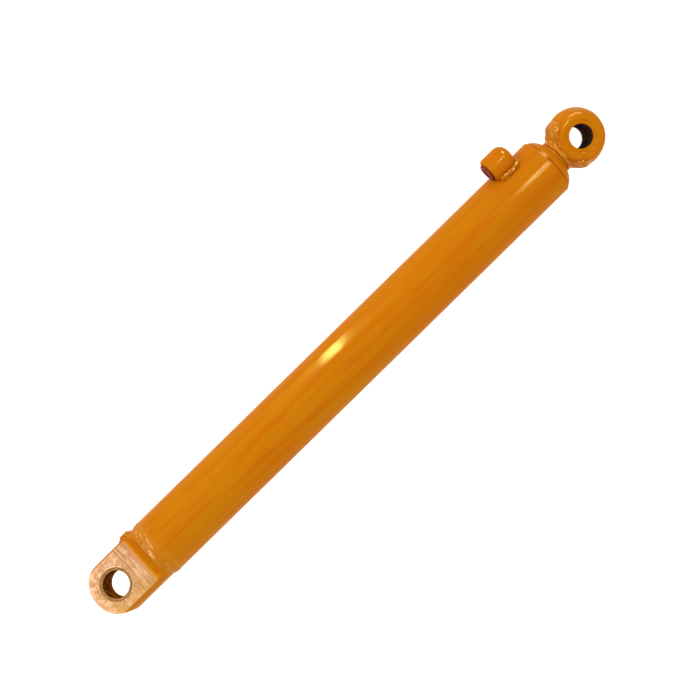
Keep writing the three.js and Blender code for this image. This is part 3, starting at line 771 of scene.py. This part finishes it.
def weld_ripples(start, end):
    """Uneven radius round the weld: long waves and curved ridges that fade at its edges."""
    def swell(x, radius, angle):
        share = (x - start) / (end - start)
        lane = share * WELD_PASSES
        this_pass = np.floor(lane)
        bend = 0.9 * (2 * (lane - this_pass) - 1) ** 2
        turns = WELD_RIPPLES * angle / (2 * math.pi)
        ridge = np.abs(np.sin(math.pi * (turns - bend + 0.12 * np.sin(5 * angle)))) ** 0.7
        waves = 0.35 * np.sin(7 * angle + 1.3 + 2 * this_pass) + 0.25 * np.sin(17 * angle + 2.6 + this_pass)
        outside = np.clip((radius - GROOVE_ROOT_R - 2) / 3, 0, 1)
        fade = np.clip(4 * share * (1 - share), 0, 1)
        return outside * fade * (0.42 * (ridge - 1) + 0.22 * (waves - 0.6))
    return swell


def radial(obj, angle, centre_x):
    """Places what was made along X so that it points out from the cylinder's axis at an angle."""
    return turn_object(stand_up(obj, centre_x), -angle)


def seat_field(points):
    """The base port's round seat, coped to the bar."""
    foot_out, face_out, hole_r, seat_r = 30.0, 40.8, 5.5, 8.5
    out, off, _, _ = port_frame(points, BASE_PORT_ANGLE, BASE_PORT_X)
    ring = smooth_max(off - seat_r, out - face_out, 1.2)
    ring = smooth_max(ring, hole_r - off, 0.3)
    coped = TANG_R + 0.15 - np.hypot(points[:, 1], points[:, 2])
    return np.maximum(smooth_max(ring, coped, 0.3), foot_out - out)


def turned_path(path, angle):
    """An array of points and outward directions, turned about X by angle."""
    path = np.array(path)
    return np.hstack([turned_about_x(path[:, :3], angle), turned_about_x(path[:, 3:], angle)])


def swept_bead(name, path, radius, pitch, seed, closed=True):
    """A bead of uneven round section along a path of points and outward directions, rippled at a pitch."""
    sides = 20
    centres, outward = path[:, :3], path[:, 3:]
    if closed:
        ahead = np.roll(centres, -1, 0) - np.roll(centres, 1, 0)
    else:
        ahead = np.gradient(centres, axis=0)
    ahead /= np.linalg.norm(ahead, axis=1, keepdims=True)
    outward = outward - (outward * ahead).sum(1, keepdims=True) * ahead
    outward /= np.linalg.norm(outward, axis=1, keepdims=True)
    beside = np.cross(ahead, outward)
    steps = np.linalg.norm(np.roll(centres, -1, 0) - centres, axis=1)
    run = np.concatenate([[0], np.cumsum(steps)[:-1]])
    ripple = np.abs(np.sin(math.pi * run / pitch)) ** 0.7
    uneven = np.sin(run / 3.1 + seed) * 0.5 + np.sin(run / 1.7 + 2 * seed) * 0.3
    size = radius * (0.74 + 0.24 * ripple + 0.07 * uneven)
    if not closed:
        from_end = np.minimum(np.arange(len(path)), np.arange(len(path))[::-1])
        size = size * np.sqrt(np.clip(from_end / 6, 0.02, 1))
    turn = (np.arange(sides) * (2 * math.pi / sides))[None, :, None]
    offset = np.cos(turn) * outward[:, None, :] + np.sin(turn) * beside[:, None, :]
    points = centres[:, None, :] + offset * size[:, None, None]
    faces = [face[::-1] for face in grid_faces(len(path), sides, closed_rows=closed)]
    if not closed:
        faces.append(list(range(sides)))
        faces.append([(len(path) - 1) * sides + j for j in reversed(range(sides))])
    return make_object(name, points.reshape(-1, 3), faces, 180)


def base_port_weld():
    """One bead round the seat's foot, on the bar."""
    ring = 9.7
    path = []
    for angle in np.arange(120) * (2 * math.pi / 120):
        c, s = math.cos(angle), math.sin(angle)
        out = math.sqrt(TANG_R ** 2 - (ring * s) ** 2) + 0.1
        path.append((BASE_PORT_X + ring * c, ring * s, out, 0.25 * c, 0.25 * s, 1.0))
    made = swept_bead("base_port_bead", turned_path(path, -BASE_PORT_ANGLE), 1.35, 2.4, 0.7)
    return finish_piece(made, "barrel", "base_port_weld", PAINTED_WELD)


def hexagon_tool(radius, start, end):
    """A hexagonal prism along X, for cutting sockets."""
    return solid_lathe("tool", [(start, radius), (end, radius)], 6)


def base_port_plug():
    """A screw plug with a domed head and a hexagon socket."""
    head = 41.1
    outline = [
        (29.0, 4.6), (29.6, 5.2), (head, 5.2), (head, 6.9), (head + 0.3, 7.2), (head + 0.7, 7.15),
        (head + 1.1, 6.8), (head + 1.45, 6.3), (head + 1.65, 5.6), (head + 1.7, 4.6),
    ]
    made = cut(solid_lathe("base_port_screw_plug", outline), hexagon_tool(2.9, head - 3, head + 5))
    radial(made, BASE_PORT_ANGLE, BASE_PORT_X)
    return finish_piece(made, "barrel", "base_port_plug", PAINTED)


# -------- tube, rod-end port and gland

def lock_tool():
    """What the lock screw's hole takes out of the tube."""
    tool = solid_lathe("tool", [(0, LOCK_R + 0.3), (60, LOCK_R + 0.3)], 48)
    return radial(tool, LOCK_ANGLE, LOCK_X)


def barrel_tube():
    """The honed tube, with a turned step for the weld, a rounded rim and the lock screw's hole."""
    stops = [TUBE_GROOVE_END, *np.linspace(90, 735, 40), 742, 746, 758, TUBE_END - 0.9]
    outer = [(x, TUBE_R) for x in stops]
    rim = [(TUBE_END - 0.5, TUBE_R - 0.25), (TUBE_END - 0.15, TUBE_R - 0.6), (TUBE_END, TUBE_R - 1.1)]
    inner = [(TUBE_END, BORE_R + 0.4), (TUBE_END - 0.4, BORE_R), (TUBE_START, BORE_R)]
    outline = [(TUBE_START, GROOVE_ROOT_R), *outer, *rim, *inner]
    made = cut(lathe("honed_tube", outline), lock_tool())
    return finish_piece(made, "barrel", "barrel_tube", PAINTED_JOINT)


def lock_screw():
    """A set screw with a hexagon socket, sunk in the tube."""
    low, high = 30.3, TUBE_R - 1.5
    outline = [(low, LOCK_R - 1), (low + 1, LOCK_R), (high - 0.5, LOCK_R), (high, LOCK_R - 0.5)]
    made = cut(solid_lathe("lock_set_screw", outline, 48), hexagon_tool(2.3, high - 3, high + 5))
    radial(made, LOCK_ANGLE, LOCK_X)
    return finish_piece(made, "barrel", "gland_lock_screw", HARDWARE)


def boss_field(points):
    """The port boss: a round bar beside the tube, rounded at its closed end, bored, and coped to the tube."""
    x, y, z = turned_about_x(points, ROD_PORT_ANGLE).T
    radius = np.hypot(y, z - ROD_PORT_OUT)
    mouth = smooth_max(radius - ROD_PORT_R, ROD_PORT_START - x, 5.0)
    closed = np.maximum(x - (ROD_PORT_END - ROD_PORT_ROUNDING), 0)
    past = np.maximum(radius - (ROD_PORT_R - ROD_PORT_ROUNDING), 0)
    body = smooth_max(mouth, np.hypot(closed, past) - ROD_PORT_ROUNDING, 0.4)
    body = smooth_max(body, TUBE_R + 0.15 - np.hypot(y, z), 0.4)
    bore_r, bore_end, chamfer = 9.3, 725, 1.4
    flare = np.maximum(ROD_PORT_START + chamfer - x, 0) * 0.9
    bore = np.where(x < bore_end, bore_r + flare - radius, -1.0)
    return smooth_max(body, bore, 0.4)


def rod_port_weld():
    """One bead down each side of the boss and round its closed end."""
    side, out, corner = 14.0, 39.6, 9.0
    centre_x = ROD_PORT_END - 0.4 - corner
    run = [(x, side) for x in np.linspace(ROD_PORT_START + 3.5, centre_x, 56)]
    run += [
        (centre_x + corner * math.sin(a), side - corner + corner * math.cos(a))
        for a in np.linspace(0, math.pi / 2, 20)[1:]
    ]
    path = []
    for x, across in run + [(x, -across) for x, across in reversed(run)]:
        height = out + (1 - abs(across) / side) * 1.6
        path.append((x, across, height, 0.3 if x > centre_x else 0.0, 0.75 * across / side, 1.0))
    made = swept_bead("rod_port_bead", turned_path(path, -ROD_PORT_ANGLE), 4.3, 7.2, 2.1, closed=False)
    push_out(made, 0.7 * lumps(read_points(made), 5.0, 11) - 0.1)
    return finish_piece(made, "barrel", "rod_port_weld", PAINTED_WELD)


def rod_port_plug():
    """A plastic dust plug with a dished, flanged head."""
    start, end, _, outer = span("rod_port_plug", -ROD_PORT_ANGLE, ROD_PORT_OUT)
    head = ROD_PORT_START - GAP
    outline = [
        (start + 1.7, 3.0), (start + 1.6, 6.4), (start + 1.2, 7.2), (start + 0.3, 8.2), (start, 9.2),
        (start, 10.6), (start + 0.25, 11.4), (start + 0.8, 11.9), (start + 1.5, outer), (head - 0.3, outer),
        (head, outer - 0.4), (head, 9.0), (end - 0.6, 8.6), (end, 8.1),
    ]
    made = solid_lathe("rod_port_cap_plug", outline)
    turn_object(made, -ROD_PORT_ANGLE, (0, 0, ROD_PORT_OUT))
    return finish_piece(made, "barrel", "rod_port_plug", PLUG)


GLAND_SEALS = ("rod_wear_ring_front", "buffer_seal", "rod_wear_ring_rear", "rod_seal")


def groove(node, mouth, floor, roll=0.0):
    """The outline of the groove that holds a ring, from its start to its end."""
    start, end = span(node, roll)[:2]
    return [(start - GAP, mouth), (start - GAP, floor), (end + GAP, floor), (end + GAP, mouth)]


def gland():
    """The gland: threaded seat, O-ring groove, rounded nose and the grooves for the rod's seals."""
    start, end, bore, _ = span("gland")
    tip_r, thread_r, seat_r = 27.5, 31.2, 32.2
    ring_start, ring_end, ring_floor = 737, 745, 28.6
    head, head_r, nose_end_r, flatness_power = TUBE_END + GAP, 38.2, 24.5, 1.4
    nose = []
    for angle in np.linspace(0, math.pi / 2, 25):
        along = math.sin(angle) ** flatness_power
        up = max(0.0, math.cos(angle)) ** flatness_power
        nose.append((head + 0.3 + (end - head - 0.3) * along, nose_end_r + (head_r - nose_end_r) * up))
    wiper_start, _, _, wiper_outer = span("wiper_seal")
    outline = [
        (start, bore), (start, tip_r - 2), (start + 2, tip_r), (731, tip_r), (735, thread_r), (736, seat_r),
        (ring_start, seat_r), (ring_start, ring_floor), (ring_end, ring_floor), (ring_end, seat_r),
        (head, seat_r), (head, head_r - 0.3), *nose, (end, wiper_outer + GAP),
        (wiper_start - GAP, wiper_outer + GAP), (wiper_start - GAP, bore),
    ]
    for seal in reversed(GLAND_SEALS):
        outline += reversed(groove(seal, bore, span(seal)[3] + GAP))
    return finish_piece(lathe("gland_head", outline), "barrel", "gland", PAINTED_JOINT)


def wiper():
    """The wiper, whose lip stands a little out of the gland."""
    start, end, inner, outer = span("wiper_seal")
    end += 0.3
    outline = rounded_outline([
        (start, inner + 1), (start, outer), (end - 1.9, outer), (end - 0.4, outer - 0.7), (end, inner + 0.9),
        (end, inner), (end - 2.5, inner), (end - 4, inner + 1),
    ], 0.35)
    made = lathe("wiper_lip", outline, RING_ROUND)
    return finish_piece(made, "barrel", "wiper_seal", WIPER)


# -------- inner rings and seals

def plain_ring(name, node, body, look, rounding=0.35, roll=0.0):
    """A ring of rectangular section with rounded corners."""
    start, end, inner, outer = span(node, roll)
    outline = rounded_outline([(start, inner), (start, outer), (end, outer), (end, inner)], rounding)
    return finish_piece(lathe(name, outline, RING_ROUND), body, node, look)


def lip_ring(name, node):
    """A urethane seal with a V cut in the end that faces the oil."""
    start, end, inner, outer = span(node)
    middle = (inner + outer) / 2
    depth = (end - start) / 2
    outline = rounded_outline([
        (start, inner), (start, middle - 0.5), (start + depth, middle), (start, middle + 0.5), (start, outer),
        (end, outer), (end, inner + 0.4),
    ], 0.4)
    return finish_piece(lathe(name, outline, RING_ROUND), "barrel", node, URETHANE)


def o_ring():
    """The gland's O-ring, squeezed to the oval that its CAD solid is."""
    start, end, inner, outer = span("gland_o_ring")
    middle_x, middle_r = (start + end) / 2, (inner + outer) / 2
    half_x, half_r = (end - start) / 2, (outer - inner) / 2
    angles = np.arange(20) * (2 * math.pi / 20)
    outline = [(middle_x + half_x * math.cos(a), middle_r + half_r * math.sin(a)) for a in angles]
    made = lathe("gland_cord_ring", outline, RING_ROUND)
    return finish_piece(made, "barrel", "gland_o_ring", RUBBER)


def inner_rings():
    plain_ring("gland_backup_band", "gland_backup_ring", "barrel", PHENOLIC)
    plain_ring("rod_guide_front", "rod_wear_ring_front", "barrel", PHENOLIC)
    plain_ring("rod_guide_rear", "rod_wear_ring_rear", "barrel", PHENOLIC)
    lip_ring("buffer_lip_seal", "buffer_seal")
    lip_ring("rod_lip_seal", "rod_seal")
    plain_ring("piston_guide_rear", "piston_wear_ring_rear", "piston_seals", PHENOLIC)
    plain_ring("piston_guide_front", "piston_wear_ring_front", "piston_seals", PHENOLIC)
    plain_ring("piston_slide_seal", "piston_seal", "piston_seals", URETHANE, 0.8)
    plain_ring("piston_expander", "piston_seal_expander", "piston_seals", RUBBER, 1.2)
    plain_ring("piston_cord_ring", "piston_o_ring", "rod", RUBBER, 0.8, EYE_ROLL)


# -------- piston and rod

def piston():
    """The piston, with three grooves outside and one for its O-ring inside."""
    start, end, inner, outer = span("piston", EYE_ROLL)
    expander_inner = span("piston_seal_expander")[2]
    outline = [(start, inner), (start, outer - 1.5), (start + 1.5, outer)]
    outline += groove("piston_wear_ring_rear", outer, span("piston_wear_ring_rear")[2] - GAP)
    outline += groove("piston_seal", outer, expander_inner - GAP)
    outline += groove("piston_wear_ring_front", outer, span("piston_wear_ring_front")[2] - GAP)
    outline += [(end - 1.5, outer), (end, outer - 1.5), (end, inner)]
    o_ring_outer = span("piston_o_ring", EYE_ROLL)[3]
    outline += reversed(groove("piston_o_ring", inner, o_ring_outer + GAP, EYE_ROLL))
    made = lathe("piston_body", outline, RING_ROUND)
    return finish_piece(made, "rod", "piston", IRON)


def nut_field(points):
    """Hexagon nut with rounded corners and a plain hole, about X."""
    start, end, inner, _ = NUT_SPAN
    x, y, z = points.T
    radius = np.hypot(y, z)
    past_end = np.abs(x - (start + end) / 2) - (end - start) / 2
    flats = np.max([np.abs(y * math.sin(a) + z * math.cos(a)) for a in NUT_FLATS], axis=0) - NUT_FLATS_R
    crown = radius - NUT_CROWN_R + np.maximum(past_end + 1.4, 0) * 1.4
    body = smooth_max(smooth_max(flats, crown, 0.4), past_end, 0.4)
    return smooth_max(body, inner - radius, 0.4)


def piston_rod():
    """The chromed rod, turned down and threaded at its piston end."""
    start, end, _, radius = span("piston_rod", EYE_ROLL)
    shoulder = span("piston", EYE_ROLL)[1] + GAP
    thread, root, pitch = 14.0, 13.1, 2.0
    outline = [(start, thread - 1.5), (start + 1.5, thread)]
    for x in start + 2 + pitch * np.arange(10):
        outline += [(x, thread), (x + pitch * 0.45, root), (x + pitch * 0.55, root)]
    outline += [(shoulder, thread), (shoulder, radius - 1), (shoulder + 1, radius)]
    outline += [(end - 0.5, radius), (end, radius - 0.5)]
    made = solid_lathe("chromed_rod", outline, ROUND)
    return finish_piece(made, "rod", "piston_rod", CHROME)


def eye_outside(points):
    """The eye's outer shape: sides that taper from a round rim, broad edges and flat faces."""
    x, y, z = points.T
    side = (np.hypot(x - PIN_CENTRES, y) - EYE_R + 0.40 * (np.hypot(z, 5.0) - 5.0)) * 0.93
    return smooth_max(side, np.abs(z) - EYE_HALF, 7.0)


def eye_field(points):
    """The forged ring eye with its bored hole."""
    radius = np.hypot(points[:, 0] - PIN_CENTRES, points[:, 1])
    return smooth_max(eye_outside(points), EYE_BORE_R - radius, 0.3)


def rod_eye():
    """The forged eye, with shallow dents."""
    made = settle(remeshed("rod_eye_ring", "rod_eye", 0.9), eye_field, EYE_ROLL)
    dents = np.minimum(0.16 * lumps(read_points(made), 16.0, 5) - 0.12, 0.0)
    return finish_piece(push_out(made, dents), "rod", "rod_eye", PAINTED_CAST)


def rod_eye_weld():
    """The bead round the rod's end: lumpy where it meets the eye, and thinning out along the eye's rim."""
    made = remeshed("rod_eye_bead", "rod_eye_weld", 0.6)
    step = made.modifiers.new("soften", "SMOOTH")
    step.factor = 0.5
    step.iterations = 8
    apply_modifiers(made)
    made.data.shade_smooth()
    points = turned_about_x(read_points(made), -EYE_ROLL)
    x = points[:, 0]
    angle = np.arctan2(points[:, 1], points[:, 2])
    far_end = np.clip((806 - x) / 8, 0.2, 1)
    ridges = np.abs(np.sin(angle * 12 + 0.5 * np.sin(3 * angle) - (x - 786) * 0.16)) ** 0.7
    rough = 0.50 * lumps(points, 6.0, 21) + 0.40 * lumps(points, 3.4, 22)
    relief = np.clip((x - 779) / 3, 0, 1) * rough + np.clip((x - 783) / 6, 0, 1) * (0.9 * ridges - 0.7)
    push_out(made, far_end * relief)

    points = turned_about_x(read_points(made), -EYE_ROLL)
    proud = np.maximum(eye_outside(points), 0)
    kept = np.clip((804.8 - points[:, 0]) / 8, 0.12, 1)
    points -= slope(eye_outside, points) * ((1 - kept) * proud)[:, None]
    write_points(made, turned_about_x(points, EYE_ROLL))
    return finish_piece(made, "rod", "rod_eye_weld", PAINTED_WELD)


def rod_eye_seal(node, side):
    """One of the eye's dust seals, with its sealing lip tapered on the outside."""
    low, high, inner, outer = upright_span(node, PIN_CENTRES, EYE_ROLL)
    near, far = sorted((abs(low), abs(high)))
    outer += 0.25
    outline = rounded_outline([
        (side * near, inner + 0.9), (side * near, outer), (side * far, outer), (side * far, inner + 0.9),
        (side * (far - 1.2), inner), (side * (far - 2.4), inner),
    ], 0.2)
    made = lathe(node + "_ring", outline, RING_ROUND)
    turn_object(stand_up(made, PIN_CENTRES), EYE_ROLL)
    return finish_piece(made, "rod", node, EYE_SEAL)


# -------- make every piece

settled_piece("base_cap_forging", "barrel", "base_cap", CAP, 1.0, cap_field)
pin_bush("base_bush_turned", "barrel", "base_bush", BRONZE, 1.2)
base_weld()
settled_piece("base_port_seat", "barrel", "base_port_boss", PAINTED, 0.35, seat_field)
base_port_weld()
base_port_plug()
barrel_tube()
lock_screw()
settled_piece("rod_port_bar", "barrel", "rod_port_boss", PAINTED_CAST, 0.6, boss_field)
rod_port_weld()
rod_port_plug()
gland()
wiper()
o_ring()
inner_rings()
piston()
settled_piece("piston_lock_nut", "rod", "piston_nut", HARDWARE, 0.7, nut_field, EYE_ROLL)
piston_rod()
rod_eye()
rod_eye_weld()
pin_bush("rod_eye_hard_bush", "rod", "rod_eye_bush", BUSH, 1.0, PIN_CENTRES, EYE_ROLL)
rod_eye_seal("rod_eye_seal_top", 1)
rod_eye_seal("rod_eye_seal_bottom", -1)


# -------- camera, floor and light

TILT = math.radians(10)  # the camera leans this far from +Z towards -Y
SWING = math.radians(44.42)  # the cylinder's axis rises this much across the picture
DISTANCE = 1.378
TO_CAMERA = Vector((0, -math.sin(TILT), math.cos(TILT)))
ACROSS = Vector((0, math.cos(TILT), math.sin(TILT)))
ALONG = Vector((1, 0, 0))
MIDDLE = ALONG * 0.418
AIM = MIDDLE + ACROSS * 0.0079


def add_camera():
    """The camera, turned so that the cylinder runs up to the right."""
    data = bpy.data.cameras.new("camera")
    data.sensor_width = 36
    data.lens = 55.44
    data.clip_start = 0.05
    data.clip_end = 20
    camera = add_object("camera", data)
    right = ALONG * math.cos(SWING) - ACROSS * math.sin(SWING)
    up = ALONG * math.sin(SWING) + ACROSS * math.cos(SWING)
    matrix = Matrix((right, up, TO_CAMERA)).transposed().to_4x4()
    matrix.translation = AIM + TO_CAMERA * DISTANCE
    camera.matrix_world = matrix
    bpy.context.scene.camera = camera


def add_area_light(name, place, target, size, watts, colour, gloss=True):
    """A rectangular light that faces target, with its width along the cylinder.

    It lights the gloss only, or everything but the gloss.
    """
    data = bpy.data.lights.new(name, "AREA")
    data.shape = "RECTANGLE"
    data.size, data.size_y = size
    data.energy = watts
    data.color = colour
    light = add_object(name, data)
    back = (place - target).normalized()
    side = (ALONG - back * ALONG.dot(back)).normalized()
    matrix = Matrix((side, back.cross(side), back)).transposed().to_4x4()
    matrix.translation = place
    light.matrix_world = matrix
    light.visible_diffuse = not gloss
    light.visible_glossy = gloss


def direction(angle):
    """Unit direction across the cylinder, angle degrees from the camera towards the picture's upper left."""
    a = math.radians(angle)
    return TO_CAMERA * math.cos(a) + ACROSS * math.sin(a)


def add_lights():
    """One wide soft light, four that only add highlights, and a white world."""
    add_area_light("soft_left", MIDDLE + direction(50) * 1.6, MIDDLE,
                   size=(1.6, 0.9), watts=10, colour=(0.92, 1.0, 0.55), gloss=False)
    streak = ALONG * 0.388
    add_area_light("streak", streak + direction(68.5) * 1.35, streak,
                   size=(0.040, 0.90), watts=67, colour=(1.0, 0.93, 0.24))
    add_area_light("soft_near_camera", ALONG * 1.15 + direction(3) * 1.45, ALONG * 0.75,
                   size=(0.25, 0.38), watts=32, colour=(1.0, 0.93, 0.38))
    eye = ALONG * PIN_CENTRES * MM
    up_left = (ALONG * 0.62 + ACROSS * 0.56 + TO_CAMERA * 0.55).normalized()
    add_area_light("eye_arc", eye + up_left * 1.2, eye,
                   size=(0.56, 0.50), watts=150, colour=(1.0, 0.85, 0.36))
    weld = ALONG * 0.07
    up_weld = (ALONG * -0.56 + direction(13) * 0.83).normalized()
    add_area_light("weld_glints", weld + up_weld * 1.2, weld,
                   size=(0.26, 0.26), watts=125, colour=(1.0, 0.92, 0.50))
    world = bpy.data.worlds.new("studio")
    world.use_nodes = True
    background = world.node_tree.nodes["Background"]
    feed(background, "Color", (1.0, 1.0, 1.0, 1.0))
    feed(background, "Strength", 1.12)
    bpy.context.scene.world = world
    bpy.context.scene.view_settings.view_transform = "Standard"


def add_floor():
    """A pale square, below the cylinder because it hangs on its pins and doesn't stand."""
    reach = 6.0
    height = cad_low.z - 0.20
    corners = [(x * reach, y * reach, height) for x, y in ((-1, -1), (1, -1), (1, 1), (-1, 1))]
    mesh = bpy.data.meshes.new("floor")
    mesh.from_pydata(corners, [], [(0, 1, 2, 3)])
    floor = add_object("floor", mesh)
    material, tree, shader = start_material("pale_floor")
    cloudy = noise(tree, place_coords(tree), 3.0, 2.0)
    feed(shader, "Base Color", mix_colour(tree, cloudy, (0.96, 0.96, 0.96), (0.98, 0.98, 0.98)))
    feed(shader, "Roughness", 0.85)
    feed(shader, "Specular IOR Level", 0.1)
    mesh.materials.append(material)


add_camera()
add_floor()
add_lights()
